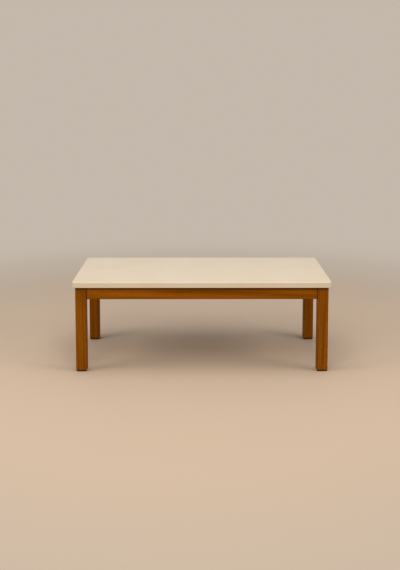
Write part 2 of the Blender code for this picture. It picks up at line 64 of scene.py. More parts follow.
# corner name: turn about Z that brings its aprons to +X and +Y of the leg
corners = {"front_left": 0, "front_right": 90, "rear_right": 180, "rear_left": 270}
# side name: turn about Z that brings the front apron there
sides = {"front": 0, "rear": 180, "left": -90, "right": 90}
longSides = ("front", "rear")
seatGap = 0.0003  # between pieces that touch
overrun = 0.010  # how far a cutter runs past the face it enters
sameLevel = 1e-5  # heights closer than this are one level
sliver = 1e-6  # edges shorter than this are closed up
roundness = {"pilot": 20, "screw": 28, "bore": 32, "wide": 40}  # how many sides a round hole gets
diagonal = Vector((1, 1, 0)).normalized()
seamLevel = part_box("tabletop")[0].z  # where the frame meets the top


# shader nodes

def startMaterial(name):
    material = bpy.data.materials.new(name)
    material.use_nodes = True
    tree = material.node_tree
    return material, tree, tree.nodes["Principled BSDF"]


def put(tree, kind, wires=None, **settings):
    node = tree.nodes.new("ShaderNode" + kind)
    for key, value in settings.items():
        setattr(node, key, value)
    for key, value in (wires or {}).items():
        if isinstance(value, bpy.types.NodeSocket):
            tree.links.new(value, node.inputs[key])
        else:
            node.inputs[key].default_value = value
    return node


def maths(tree, operation, *values):
    return put(tree, "Math", dict(enumerate(values)), operation=operation).outputs[0]


def summed(tree, base, *terms):
    # the base, and each value times its share on top of it
    for value, share in terms:
        base = maths(tree, "MULTIPLY_ADD", value, share, base)
    return base


def stretched(tree, vector, factors):
    return put(tree, "VectorMath", {0: vector, 1: factors}, operation="MULTIPLY").outputs[0]


def cloud(tree, vector, size, detail=2.0, roughness=0.5):
    wires = {"Vector": vector, "Scale": 1 / size, "Detail": detail, "Roughness": roughness}
    return put(tree, "TexNoise", wires).outputs["Fac"]


def fade(tree, value, low, high, start=0.0, end=1.0):
    wires = {"Value": value, "From Min": low, "From Max": high, "To Min": start, "To Max": end}
    return put(tree, "MapRange", wires, interpolation_type="SMOOTHSTEP").outputs["Result"]


def tint(tree, factor, first, second):
    wires = {0: factor}
    for place, colour in ((6, first), (7, second)):
        wires[place] = colour if isinstance(colour, bpy.types.NodeSocket) else (*colour, 1.0)
    return put(tree, "Mix", wires, data_type="RGBA").outputs[2]


def overlaid(tree, colour, mask, depth, tone):
    # the tone over the colour, as deep as the mask says
    return tint(tree, maths(tree, "MULTIPLY", mask, depth), colour, tone)


def arrisMask(tree, low, high):
    # high where a rounded edge turns from one flat face to the next
    normal = put(tree, "TexCoord").outputs["Normal"]
    flat = put(tree, "VectorMath", {0: normal}, operation="ABSOLUTE").outputs[0]
    parts = put(tree, "SeparateXYZ", {0: flat}).outputs
    most = maths(tree, "MAXIMUM", maths(tree, "MAXIMUM", parts[0], parts[1]), parts[2])
    return fade(tree, maths(tree, "SUBTRACT", 1.0, most), low, high)


def roughen(tree, shader, height, strength, distance):
    bump = put(tree, "Bump", {"Height": height, "Strength": strength, "Distance": distance})
    tree.links.new(bump.outputs[0], shader.inputs["Normal"])


# wood, laid along the grain that each piece carries

# widths lie across the grain, and a pace below 1 draws the pattern out along it
stainedLeg = {
    "lightTone": (0.376, 0.125, 0.0045), "darkTone": (0.163, 0.0470, 0.0016),
    "poreTone": (0.085, 0.022, 0.0010), "rubbedTone": (0.440, 0.165, 0.0120),
    "endTone": (0.060, 0.014, 0.0006),
    "ringWidth": 0.0042, "ringPace": 0.045, "ringWobble": 7.0, "ringDetail": 0.16, "ringRaggedness": 0.45,
    "ringFade": (0.25, 0.97), "ringShare": 0.22, "ringRise": 0.20,
    "streakWidth": 0.013, "streakPace": 0.028, "streakShare": 0.46, "streakRough": 0.10,
    "driftWidth": 0.075, "driftPace": 0.16, "driftShare": 0.24, "bandFade": (0.36, 0.64),
    "fibreWidth": 0.0012, "fibrePace": 0.016, "fibreShare": 0.08, "fibreRise": 0.45,
    "poreWidth": 0.00055, "porePace": 0.055, "poreFade": (0.62, 0.73), "poreDepth": 0.50,
    "poreRough": 0.14, "poreRise": -0.70,
    # the end keys darken board ends, partly end grain and partly painted shade in the joints; the seam keys
    # set a band of painted shade under the top
    "endReach": 0.007, "endDepth": 0.80, "seamReach": 0.013, "seamHidden": 0.004, "seamDepth": 0.85,
    "rub": 0.40, "rubPatch": 0.016, "rubFade": (0.40, 0.66), "arrisFade": (0.03, 0.22),
    "roughness": 0.50, "shine": 0.10, "shineTint": (1.0, 0.60, 0.22), "bump": 0.30, "bumpDepth": 0.00014,
}
stainedApron = {
    **stainedLeg,
    "lightTone": (0.414, 0.130, 0.0043), "darkTone": (0.176, 0.0500, 0.0015),
    "streakWidth": 0.016, "endReach": 0.006, "endDepth": 0.90,
}
plainRail = {
    **stainedLeg,
    "lightTone": (0.430, 0.248, 0.108), "darkTone": (0.285, 0.142, 0.054),
    "poreTone": (0.170, 0.078, 0.029), "rubbedTone": (0.500, 0.310, 0.150),
    "endTone": (0.200, 0.095, 0.035),
    "roughness": 0.62, "bump": 0.45, "rub": 0.25, "shine": 0.4, "shineTint": (1.0, 0.9, 0.75),
    "endDepth": 0.45, "seamDepth": 0.35,
}
plainBeech = {
    **plainRail,
    "lightTone": (0.640, 0.440, 0.240), "darkTone": (0.500, 0.315, 0.150),
    "poreTone": (0.330, 0.180, 0.080), "rubbedTone": (0.680, 0.490, 0.290),
    "endTone": (0.400, 0.230, 0.105),
    "ringWidth": 0.0020, "streakWidth": 0.004, "endReach": 0.002, "seamDepth": 0.0,
}
waveRing = math.tau / 20  # width of one ring of the wave texture at scale 1


def woodFinish(name, look):
    material, tree, shader = startMaterial(name)
    grain = put(tree, "Attribute", attribute_name="grain").outputs["Vector"]
    boardFacts = put(tree, "Attribute", attribute_name="board").outputs["Vector"]
    fromStart, fromEnd, stainAndLightPaleness = put(tree, "SeparateXYZ", {0: boardFacts}).outputs

    def drawnOut(layer):
        return stretched(tree, grain, (1, 1, look[layer + "Pace"]))

    ringWires = {
        "Vector": drawnOut("ring"), "Scale": waveRing / look["ringWidth"], "Distortion": look["ringWobble"],
        "Detail": 2.0, "Detail Scale": look["ringDetail"], "Detail Roughness": look["ringRaggedness"],
    }
    rings = put(tree, "TexWave", ringWires, wave_type="RINGS", rings_direction="Z", wave_profile="SAW")
    lateWood = fade(tree, rings.outputs["Fac"], *look["ringFade"])
    streaks = fade(tree, cloud(tree, drawnOut("streak"), look["streakWidth"], detail=3.0), *look["bandFade"])
    drift = fade(tree, cloud(tree, drawnOut("drift"), look["driftWidth"], detail=1.0), *look["bandFade"])
    fibres = cloud(tree, drawnOut("fibre"), look["fibreWidth"])
    pores = fade(tree, cloud(tree, drawnOut("pore"), look["poreWidth"], detail=0.0), *look["poreFade"])

    tone = summed(tree, 0.0, (lateWood, look["ringShare"]), (streaks, look["streakShare"]),
                  (drift, look["driftShare"]), (fibres, look["fibreShare"]))
    colour = tint(tree, tone, look["lightTone"], look["darkTone"])
    colour = overlaid(tree, colour, pores, look["poreDepth"], look["poreTone"])
    # no two boards take the stain alike; on the legs this also carries painted light, paler where a leg
    # stands more in shade
    colour = put(tree, "VectorMath", {0: colour, "Scale": stainAndLightPaleness}, operation="SCALE").outputs[0]

    # darker up to a ragged line near each end of a board: partly end grain that drinks more of the stain,
    # partly painted shade in the joints beside the legs and at the feet
    toEnd = maths(tree, "MINIMUM", fromStart, fromEnd)
    toEnd = summed(tree, toEnd, (maths(tree, "SUBTRACT", fibres, 0.5), look["endReach"]))
    endStainShade = fade(tree, toEnd, look["endReach"], look["endReach"] / 3)
    colour = overlaid(tree, colour, endStainShade, look["endDepth"], look["endTone"])

    # painted shade: the frame is darkened in a band just under the top, where the overhang shades it
    place = put(tree, "TexCoord").outputs["Object"]
    level = put(tree, "SeparateXYZ", {0: place}).outputs[2]
    seamShade = fade(tree, level, seamLevel - look["seamReach"], seamLevel - look["seamHidden"])
    colour = overlaid(tree, colour, seamShade, look["seamDepth"], look["endTone"])

    # finish rubbed thin along the arrises, in patches
    patches = fade(tree, cloud(tree, place, look["rubPatch"], detail=3.0), *look["rubFade"])
    rubbed = maths(tree, "MULTIPLY", arrisMask(tree, *look["arrisFade"]), patches)
    colour = overlaid(tree, colour, rubbed, look["rub"], look["rubbedTone"])
    tree.links.new(colour, shader.inputs["Base Color"])

    rough = summed(tree, look["roughness"] - look["streakRough"] / 2, (streaks, look["streakRough"]),
                   (pores, look["poreRough"]))
    tree.links.new(rough, shader.inputs["Roughness"])
    shader.inputs["Specular IOR Level"].default_value = look["shine"]
    shader.inputs["Specular Tint"].default_value = (*look["shineTint"], 1.0)
    height = summed(tree, 0.0, (fibres, look["fibreRise"]), (lateWood, look["ringRise"]),
                    (pores, look["poreRise"]))
    roughen(tree, shader, height, look["bump"], look["bumpDepth"])
    return material


# lacquer, steel and felt

creamLacquer = {
    "tone": (0.768, 0.660, 0.515), "paleTone": (0.792, 0.690, 0.551),
    "mottleSize": 0.22, "mottleFade": (0.30, 0.70),
    "wornTone": (0.640, 0.500, 0.330), "wear": 0.22, "rimFade": (0.10, 0.24),
    "wearPatch": 0.012, "wearFade": (0.54, 0.70),
    "undersideTone": (0.330, 0.225, 0.135), "undersideFade": (-0.90, -0.98), "undersideRough": 0.22,
    "roughness": 0.34, "wipe": (3.0, 14.0, 14.0), "wipeRough": 0.10,
    "hairline": (18.0, 700.0, 700.0), "hairlineFade": (0.64, 0.76), "hairlineRough": 0.06,
    "peelSize": 0.0026, "peelStrength": 0.10, "peelDepth": 0.00006,
}


def lacquerFinish(name, look):
    material, tree, shader = startMaterial(name)
    coords = put(tree, "TexCoord").outputs
    place = coords["Object"]
    mottle = fade(tree, cloud(tree, place, look["mottleSize"], detail=3.0), *look["mottleFade"])
    colour = tint(tree, mottle, look["tone"], look["paleTone"])
    # rims: the turn from flat to upright, worn in small patches
    upright = put(tree, "SeparateXYZ", {0: coords["Normal"]}).outputs[2]
    upness = maths(tree, "ABSOLUTE", upright)
    rimTurn = maths(tree, "MULTIPLY", upness, maths(tree, "SUBTRACT", 1.0, upness))
    patches = fade(tree, cloud(tree, place, look["wearPatch"], detail=4.0, roughness=0.6), *look["wearFade"])
    worn = maths(tree, "MULTIPLY", fade(tree, rimTurn, *look["rimFade"]), patches)
    colour = overlaid(tree, colour, worn, look["wear"], look["wornTone"])
    # the underside is bare board with a sealing coat
    under = fade(tree, upright, *look["undersideFade"])
    colour = tint(tree, under, colour, look["undersideTone"])
    tree.links.new(colour, shader.inputs["Base Color"])

    wiped = cloud(tree, stretched(tree, place, look["wipe"]), 1.0, detail=4.0, roughness=0.6)
    hairlines = cloud(tree, stretched(tree, place, look["hairline"]), 1.0, detail=1.0)
    rough = summed(tree, look["roughness"] - look["wipeRough"] / 2, (wiped, look["wipeRough"]),
                   (fade(tree, hairlines, *look["hairlineFade"]), look["hairlineRough"]),
                   (under, look["undersideRough"]))
    tree.links.new(rough, shader.inputs["Roughness"])
    peel = cloud(tree, place, look["peelSize"], detail=1.0)
    roughen(tree, shader, peel, look["peelStrength"], look["peelDepth"])
    return material


bentSteel = {
    "coolTone": (0.545, 0.560, 0.570), "warmTone": (0.600, 0.580, 0.525),
    "driftSize": 0.018, "driftFade": (0.30, 0.70),
    "flakeTone": (0.720, 0.725, 0.720), "flakeSize": 0.0035, "flakeShare": 0.22, "flakeRough": 0.07,
    "dullTone": (0.330, 0.325, 0.310), "dullSize": 0.006, "dullFade": (0.50, 0.78),
    "dullShare": 0.55, "dullRough": 0.16,
    "roughness": 0.34, "stroke": (160.0, 160.0, 1400.0), "strokeRough": 0.12,
    "bump": 0.16, "bumpDepth": 0.00005,
}
turnedSteel = {**bentSteel, "roughness": 0.30, "flakeSize": 0.0016, "stroke": (500.0, 500.0, 500.0)}


def zincFinish(name, look):
    material, tree, shader = startMaterial(name)
    place = put(tree, "TexCoord").outputs["Object"]
    drift = fade(tree, cloud(tree, place, look["driftSize"], detail=3.0), *look["driftFade"])
    colour = tint(tree, drift, look["coolTone"], look["warmTone"])
    cells = put(tree, "TexVoronoi", {"Vector": place, "Scale": 1 / look["flakeSize"]}).outputs["Color"]
    flake = put(tree, "SeparateColor", {0: cells}).outputs[0]
    dull = fade(tree, cloud(tree, place, look["dullSize"], detail=4.0, roughness=0.65), *look["dullFade"])
    colour = overlaid(tree, colour, flake, look["flakeShare"], look["flakeTone"])
    colour = overlaid(tree, colour, dull, look["dullShare"], look["dullTone"])
    tree.links.new(colour, shader.inputs["Base Color"])
    shader.inputs["Metallic"].default_value = 1.0
    strokes = cloud(tree, stretched(tree, place, look["stroke"]), 1.0)
    rough = summed(tree, look["roughness"] - look["strokeRough"] / 2, (flake, look["flakeRough"]),
                   (strokes, look["strokeRough"]), (dull, look["dullRough"]))
    tree.links.new(rough, shader.inputs["Roughness"])
    roughen(tree, shader, strokes, look["bump"], look["bumpDepth"])
    return material


pressedFelt = {
    "darkTone": (0.020, 0.011, 0.007), "lightTone": (0.066, 0.039, 0.024), "toneFade": (0.32, 0.66),
    "hairSize": 0.0005, "hairPace": 0.6, "hairShare": 0.5, "clumpSize": 0.004, "clumpShare": 0.5,
    "hairFade": (0.2, 0.8), "roughness": (0.86, 1.0), "sheen": 0.35, "sheenRoughness": 0.5,
    "bump": 0.7, "bumpDepth": 0.0004,
}


def feltFinish(name, look):
    material, tree, shader = startMaterial(name)
    place = put(tree, "TexCoord").outputs["Object"]
    lying = stretched(tree, place, (1, 1, look["hairPace"]))
    hairs = cloud(tree, lying, look["hairSize"], detail=3.0, roughness=0.7)
    clumps = cloud(tree, place, look["clumpSize"])
    mixed = summed(tree, 0.0, (hairs, look["hairShare"]), (clumps, look["clumpShare"]))
    colour = tint(tree, fade(tree, mixed, *look["toneFade"]), look["darkTone"], look["lightTone"])
    tree.links.new(colour, shader.inputs["Base Color"])
    rough = fade(tree, hairs, *look["hairFade"], *look["roughness"])
    tree.links.new(rough, shader.inputs["Roughness"])
    shader.inputs["Sheen Weight"].default_value = look["sheen"]
    shader.inputs["Sheen Roughness"].default_value = look["sheenRoughness"]
    roughen(tree, shader, hairs, look["bump"], look["bumpDepth"])
    return material


legWood = woodFinish("legStain", stainedLeg)
apronWood = woodFinish("apronStain", stainedApron)
railWood = woodFinish("railWood", plainRail)
beechWood = woodFinish("dowelBeech", plainBeech)
topLacquer = lacquerFinish("topLacquer", creamLacquer)
sheetZinc = zincFinish("bentZinc", bentSteel)
turnedZinc = zincFinish("turnedZinc", turnedSteel)
padFelt = feltFinish("padFelt", pressedFelt)
print("finishes made")


# mesh tools

def turnZ(degrees, size=4):
    return Matrix.Rotation(math.radians(degrees), size, "Z")


def meshOf(shape, name):
    bmesh.ops.recalc_face_normals(shape, faces=shape.faces)
    mesh = bpy.data.meshes.new(name)
    shape.to_mesh(mesh)
    shape.free()
    return mesh


def onBench(mesh):
    # an object that is there only while its mesh is worked on
    body = bpy.data.objects.new(mesh.name, mesh)
    scene.collection.objects.link(body)
    return body


def offBench(body):
    bpy.context.view_layer.update()
    graph = bpy.context.evaluated_depsgraph_get()
    mesh = bpy.data.meshes.new_from_object(body.evaluated_get(graph))
    bpy.data.objects.remove(body)
    return mesh


def worked(mesh, tools, operation="DIFFERENCE"):
    for tool in tools:
        body, cutter = onBench(mesh), onBench(tool)
        boolean = body.modifiers.new("cut", "BOOLEAN")
        boolean.operation, boolean.solver, boolean.object = operation, "EXACT", cutter
        mesh = offBench(body)
        bpy.data.objects.remove(cutter)
    # slivers that a cut leaves are closed up
    shape = bmesh.new()
    shape.from_mesh(mesh)
    bmesh.ops.dissolve_degenerate(shape, dist=sliver, edges=shape.edges)
    shape.to_mesh(mesh)
    shape.free()
    return mesh


def addBlock(shape, low, high):
    low, high = Vector(low), Vector(high)
    matrix = Matrix.Translation((low + high) / 2) @ Matrix.Diagonal((*(high - low), 1.0))
    return bmesh.ops.create_cube(shape, size=1.0, matrix=matrix)["verts"]


def addRod(shape, start, end, radius, count):
    start, end = Vector(start), Vector(end)
    turn = (end - start).to_track_quat("Z", "Y").to_matrix().to_4x4()
    matrix = Matrix.Translation((start + end) / 2) @ turn
    length = (end - start).length
    bmesh.ops.create_cone(shape, cap_ends=True, segments=count, radius1=radius, radius2=radius,
                          depth=length, matrix=matrix)


def addChamferBar(shape, x, y, depth, halfHeight):
    # an upright bar, turned so that it takes a chamfer off the edge that it stands on
    width = depth * math.sqrt(2)
    spot = Matrix.Translation((x, y, 0)) @ turnZ(45)
    bmesh.ops.create_cube(shape, size=1.0, matrix=spot @ Matrix.Diagonal((width, width, 2 * halfHeight, 1)))


def easeEdges(shape, edges, radius, steps):
    bmesh.ops.bevel(shape, geom=edges, offset=radius, offset_type="OFFSET", segments=steps, profile=0.5,
                    affect="EDGES", clamp_overlap=False)


def edgesAt(shape, height):
    return [e for e in shape.edges if all(abs(v.co.z - height) < sameLevel for v in e.verts)]


def easedPost(name, plan, low, high, corner, lowerRound, upperRound, cornerSteps, rimSteps):
    shape = bmesh.new()
    addBlock(shape, (-plan[0] / 2, -plan[1] / 2, low), (plan[0] / 2, plan[1] / 2, high))
    flat = set(edgesAt(shape, low) + edgesAt(shape, high))
    easeEdges(shape, [e for e in shape.edges if e not in flat], corner, cornerSteps)
    for level, radius in ((high, upperRound), (low, lowerRound)):
        easeEdges(shape, edgesAt(shape, level), radius, rimSteps)
    return meshOf(shape, name)


def easedBar(name, length, thickness, height, lowerRound, upperRound, steps):
    shape = bmesh.new()
    addBlock(shape, (-length / 2, -thickness / 2, -height / 2), (length / 2, thickness / 2, height / 2))
    for level, radius in ((-height / 2, lowerRound), (height / 2, upperRound)):
        longEdges = [e for e in edgesAt(shape, level) if e.verts[0].co.x * e.verts[1].co.x < 0]
        easeEdges(shape, longEdges, radius, steps)
    return meshOf(shape, name)


def turnedBody(name, rows, count, shaping=None, ring=False):
    # rows of (radius, height) turned about Z; shaping changes a radius by height and angle
    shape = bmesh.new()
    rings = []
    for radius, height in rows:
        if radius == 0:
            rings.append([shape.verts.new((0, 0, height))])
            continue
        verts = []
        for step in range(count):
            angle = math.tau * step / count
            reach = shaping(radius, height, angle) if shaping else radius
            verts.append(shape.verts.new((reach * math.cos(angle), reach * math.sin(angle), height)))
        rings.append(verts)
    pairs = list(zip(rings, rings[1:]))
    if ring:
        pairs.append((rings[-1], rings[0]))
    for first, second in pairs:
        for step in range(count):
            following = (step + 1) % count
            if len(first) == 1:
                shape.faces.new((first[0], second[step], second[following]))
            elif len(second) == 1:
                shape.faces.new((first[step], first[following], second[0]))
            else:
                shape.faces.new((first[step], first[following], second[following], second[step]))
    return meshOf(shape, name)


def threadRows(radius, start, end, pitch, perTurn=8):
    count = max(2, round(abs(end - start) / pitch * perTurn))
    return [(radius, start + (end - start) * step / count) for step in range(count + 1)]


def threadShaping(threads):
    # threads: (low, high, pitch, depth) spans along the axis
    def shaping(radius, height, angle):
        for low, high, pitch, depth in threads:
            if low <= height <= high:
                groove = abs(2 * ((height / pitch - angle / math.tau) % 1.0) - 1)
                runOut = min(1.0, (height - low) / pitch, (high - height) / pitch)
                return radius - depth * groove * runOut
        return radius
    return shaping


def bentStrip(name, line, width, thickness, bend, steps=8):
    shape = bmesh.new()
    low = [shape.verts.new((x, y, -width / 2)) for x, y in line]
    high = [shape.verts.new((x, y, width / 2)) for x, y in line]
    for start in range(len(line) - 1):
        shape.faces.new((low[start], low[start + 1], high[start + 1], high[start]))
    strip = onBench(meshOf(shape, name))
    bends = strip.modifiers.new("bends", "BEVEL")
    bends.width, bends.segments, bends.use_clamp_overlap = bend, steps, False
    sheet = strip.modifiers.new("sheet", "SOLIDIFY")
    sheet.thickness, sheet.offset, sheet.use_even_offset = thickness, 0.0, True
    return offBench(strip)


def softEdged(mesh, radius, sharpest=60, steps=2):
    # the burr of a pressed edge is taken off
    body = onBench(mesh)
    ease = body.modifiers.new("ease", "BEVEL")
    ease.width, ease.segments, ease.use_clamp_overlap = radius, steps, True
    ease.limit_method, ease.angle_limit = "ANGLE", math.radians(sharpest)
    return offBench(body)


def layGrain(mesh, along, across, heart, start, lean, stainAndLightPaleness=1.0):
    # writes where each point lies in the log: across and through the rings, and along the fibres;
    # then how far it lies from the two ends of the board, and how pale the board is painted: its stain, and
    # on the legs painted light
    along, across = Vector(along), Vector(across)
    through = along.cross(across)
    points = [v.co for v in mesh.vertices]
    middle = sum(points, Vector()) / len(points)
    lengths = [(point - middle).dot(along) for point in points]
    first, last = min(lengths), max(lengths)
    grain = mesh.attributes.new("grain", "FLOAT_VECTOR", "POINT").data
    for spot, point, length in zip(grain, points, lengths):
        away = point - middle
        sideways = away.dot(across) - heart[0] + lean * length
        spot.vector = (sideways, away.dot(through) - heart[1], length + start)
    board = mesh.attributes.new("board", "FLOAT_VECTOR", "POINT").data
    for spot, length in zip(board, lengths):
        spot.vector = (length - first, last - length, stainAndLightPaleness)


def addPiece(name, mesh, finish, node, crease=34):
    mesh.name = name
    mesh.materials.clear()
    mesh.materials.append(finish)
    mesh.shade_smooth()
    mesh.set_sharp_from_angle(angle=math.radians(crease))
    piece = bpy.data.objects.new(name, mesh)
    scene.collection.objects.link(piece)
    even = piece.modifiers.new("evenShading", "WEIGHTED_NORMAL")
    even.keep_sharp = True
    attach(piece, "root")
    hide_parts(node)


def middleOf(node):
    low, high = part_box(node)
    return (low + high) / 2


def aimed(place, aim, roll=0.0):
    turn = Vector(aim).to_track_quat("Z", "Y").to_matrix() @ Matrix.Rotation(roll, 3, "Z")
    return Matrix.Translation(place) @ turn.to_4x4()


def copied(mesh, matrix):
    mesh = mesh.copy()
    mesh.transform(matrix)
    return mesh


# places that several pieces share, read from the frame
topLow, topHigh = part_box("tabletop")
legLow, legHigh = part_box("leg_front_left")
frontLow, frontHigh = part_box("apron_front")
leftLow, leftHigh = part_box("apron_left")
plateLow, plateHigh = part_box("corner_bracket_front_left")
legAxis = (legLow + legHigh) / 2
legWidth = legHigh.x - legLow.x
apronInside = frontHigh.y - legAxis.y  # inner face of the apron, from the axis of the leg
apronMiddle = (frontLow.y + frontHigh.y) / 2 - legAxis.y
apronHeight = frontHigh.z - frontLow.z
apronThickness = frontHigh.y - frontLow.y
apronEnd = frontLow.x - legAxis.x
boltLevel = (frontLow.z + frontHigh.z) / 2

cornerSteel = {
    "sheet": 0.0015, "wing": 0.028, "bend": 0.002, "standoff": 0.005, "boltHole": 0.0045,
    "screwHole": 0.0023, "edge": 0.00022, "crease": 40,
}
lipEnd = plateLow.x - legAxis.x
lipLine = plateHigh.x - legAxis.x - cornerSteel["sheet"] / 2
wingMiddle = apronInside + seatGap + cornerSteel["sheet"] / 2
wingBend = lipLine - cornerSteel["wing"]
wingScrew = wingBend + cornerSteel["wing"] / 2
webMiddle = (wingBend + wingMiddle) / math.sqrt(2)
webInside = webMiddle + cornerSteel["sheet"] / 2
flatOut = webMiddle - cornerSteel["sheet"] / 2 - cornerSteel["standoff"]  # flat on the leg, from its axis


def spotOf(corner):
    axis = middleOf("leg_" + corner)
    return Matrix.Translation((axis.x, axis.y, 0)) @ turnZ(corners[corner])


def boltSpot(corner, out, roll=0.0):
    # on the line of a corner's bolt, so far out from the axis of the leg
    return spotOf(corner) @ aimed(diagonal * out + Vector((0, 0, boltLevel)), diagonal, roll)


# the top

lacqueredTop = {
    "corner": 0.025, "upperRound": 0.003, "lowerRound": 0.002, "cornerSteps": 22, "rimSteps": 8,
    "pilot": 0.0023, "pilotDepth": 0.015,
}


def makeTop(look):
    size = topHigh - topLow
    board = easedPost("board", (size.x, size.y), topLow.z, topHigh.z, look["corner"], look["lowerRound"],
                      look["upperRound"], look["cornerSteps"], look["rimSteps"])
    pilots = bmesh.new()
    low, high = topLow.z - overrun, topLow.z + look["pilotDepth"]
    for node in frame["nodes"]:
        if node.startswith(("clip_screw", "rail_screw")):
            x, y = middleOf(node).xy
            addRod(pilots, (x, y, low), (x, y, high), look["pilot"], roundness["pilot"])
    board = worked(board, [meshOf(pilots, "pilots")])
    addPiece("creamTop", board, topLacquer, "tabletop")


makeTop(lacqueredTop)
print("top made")


# legs and their pads

squareLeg = {
    "edge": 0.0025, "foot": 0.002, "crown": 0.0006, "edgeSteps": 6, "flatRun": 0.010,
    "boltBore": 0.0043, "boltDepth": 0.0323, "dowelBore": 0.0043, "dowelDepth": 0.0156, "dowelRise": 0.014,
    # where the heart of the log lay, how far along it the leg was cut, how much the grain leans,
    # and how pale the leg is painted: partly its stain, partly painted light that evens out how much shade
    # each leg stands in
    "front_left": ((0.085, -0.052), 5.20, 0.010, 0.95),
    "front_right": ((-0.070, 0.078), 1.70, -0.014, 0.98),
    "rear_left": ((0.060, 0.092), 3.10, 0.018, 0.99),
    "rear_right": ((-0.030, -0.100), 2.70, -0.008, 1.04),
}


def makeLegs(look):
    post = easedPost("post", (legWidth, legWidth), legLow.z, legHigh.z, look["edge"], look["foot"],
                     look["crown"], look["edgeSteps"], look["edgeSteps"])
    flat = bmesh.new()
    addBlock(flat, (flatOut, -legWidth, frontLow.z - look["flatRun"]),
             (flatOut + legWidth, legWidth, legHigh.z + overrun))
    bmesh.ops.rotate(flat, verts=flat.verts, cent=(0, 0, 0), matrix=turnZ(45, 3))
    bores = bmesh.new()
    level = Vector((0, 0, boltLevel))
    addRod(bores, diagonal * (flatOut - look["boltDepth"]) + level, diagonal * (flatOut + overrun) + level,
           look["boltBore"], roundness["bore"])
    inner = Vector((apronEnd - look["dowelDepth"], apronMiddle, boltLevel + look["dowelRise"]))
    outer = Vector((apronEnd + overrun, apronMiddle, boltLevel + look["dowelRise"]))
    for start, end in ((inner, outer), (inner.yxz, outer.yxz)):
        addRod(bores, start, end, look["dowelBore"], roundness["bore"])
    leg = worked(post, [meshOf(flat, "flat"), meshOf(bores, "bores")])
    for corner in corners:
        mesh = copied(leg, spotOf(corner))
        layGrain(mesh, (0, 0, 1), (1, 0, 0), *look[corner])
        addPiece("leg." + corner, mesh, legWood, "leg_" + corner)


feltPad = {
    "corner": 0.004, "edge": 0.0008, "cornerSteps": 6, "edgeSteps": 3, "cell": 0.0016, "cuts": 4,
    "fuzz": 0.00022, "fuzzSize": 0.0014,
}


def splitLargeFaces(shape):
    bmesh.ops.triangulate(shape, faces=[f for f in shape.faces if len(f.verts) > 4])


def makePads(look):
    low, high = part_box("foot_pad_front_left")
    width = high.x - low.x - 2 * look["fuzz"]
    cushion = easedPost("pad", (width, width), low.z, high.z, look["corner"], look["edge"], look["edge"],
                        look["cornerSteps"], look["edgeSteps"])
    shape = bmesh.new()
    shape.from_mesh(cushion)
    splitLargeFaces(shape)
    for cut in range(look["cuts"]):
        longEdges = [e for e in shape.edges if e.calc_length() > look["cell"]]
        if longEdges:
            bmesh.ops.subdivide_edges(shape, edges=longEdges, cuts=1, use_grid_fill=True)
            splitLargeFaces(shape)
    shape.normal_update()
    for vert in shape.verts:
        # the sides are frayed, the faces that touch leg and floor stay flat
        sideways = Vector((vert.normal.x, vert.normal.y, 0))
        vert.co += sideways * look["fuzz"] * noise.noise(vert.co / look["fuzzSize"])
    cushion = meshOf(shape, "pad")
    for corner in corners:
        addPiece("pad." + corner, copied(cushion, spotOf(corner)), padFelt, "foot_pad_" + corner)


makeLegs(squareLeg)
makePads(feltPad)
print("legs and pads made")


# aprons and cross rail

apronBoard = {
    "lowerRound": 0.002, "upperRound": 0.001, "steps": 6, "endChamfer": 0.0016,
    "dowelBore": 0.0043, "dowelDepth": 0.0153, "dowelRise": 0.014,
    "kerfHalf": 0.00105, "kerfDepth": 0.0063, "mouth": 0.002, "pilot": 0.0023, "pilotDepth": 0.013,
    "slotHalf": 0.012, "slotDepth": 0.0083, "slotDrop": 0.0097, "slotHigh": 0.0022,
    "mortiseHalf": 0.0053, "mortiseDepth": 0.0103, "mortiseTop": 0.0057, "mortiseFoot": 0.0343,
    # heart of the log, start along it, and lean of the grain
    "front": ((-0.058, 0.060), 11.70, 0.016), "rear": ((0.070, 0.044), 2.60, -0.012),
    "left": ((-0.048, -0.070), 5.20, 0.020), "right": ((0.064, 0.056), 7.40, -0.018),
}


